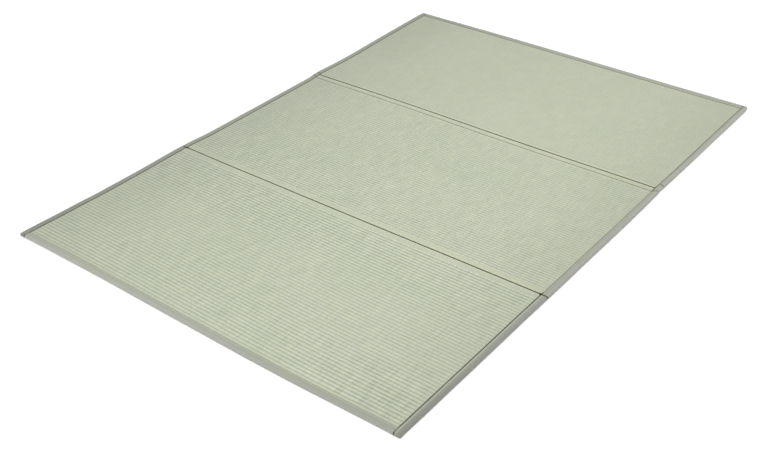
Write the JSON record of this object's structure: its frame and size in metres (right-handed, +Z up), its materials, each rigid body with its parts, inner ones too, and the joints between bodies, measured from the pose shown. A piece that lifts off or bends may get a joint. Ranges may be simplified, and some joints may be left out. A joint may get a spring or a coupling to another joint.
{
  "type": "folding tatami mat",
  "caption": "Wide rectangular rush floor mat lying flat, made in folding panels with a sewn hinge strip and a cloth tape bound round its edge.",
  "frame": {"origin": "on the floor, under the middle of the mat", "axes": "+X across the mat, +Y along it from the near end to the far end, +Z up"},
  "size_m": [1.4, 2, 0.01],
  "materials": {
    "rush": "woven rush, low satin",
    "binding": "matt plain-woven cotton tape"
  },
  "bodies": {
    "root": {"panel_near": "rush", "panel_middle": "rush", "hinge_strip": "rush", "panel_far": "rush", "binding_near_left": "binding", "binding_near_right": "binding", "binding_far_left": "binding", "binding_far_right": "binding", "binding_near_end": "binding", "binding_far_end": "binding"}
  },
  "joints": []
}
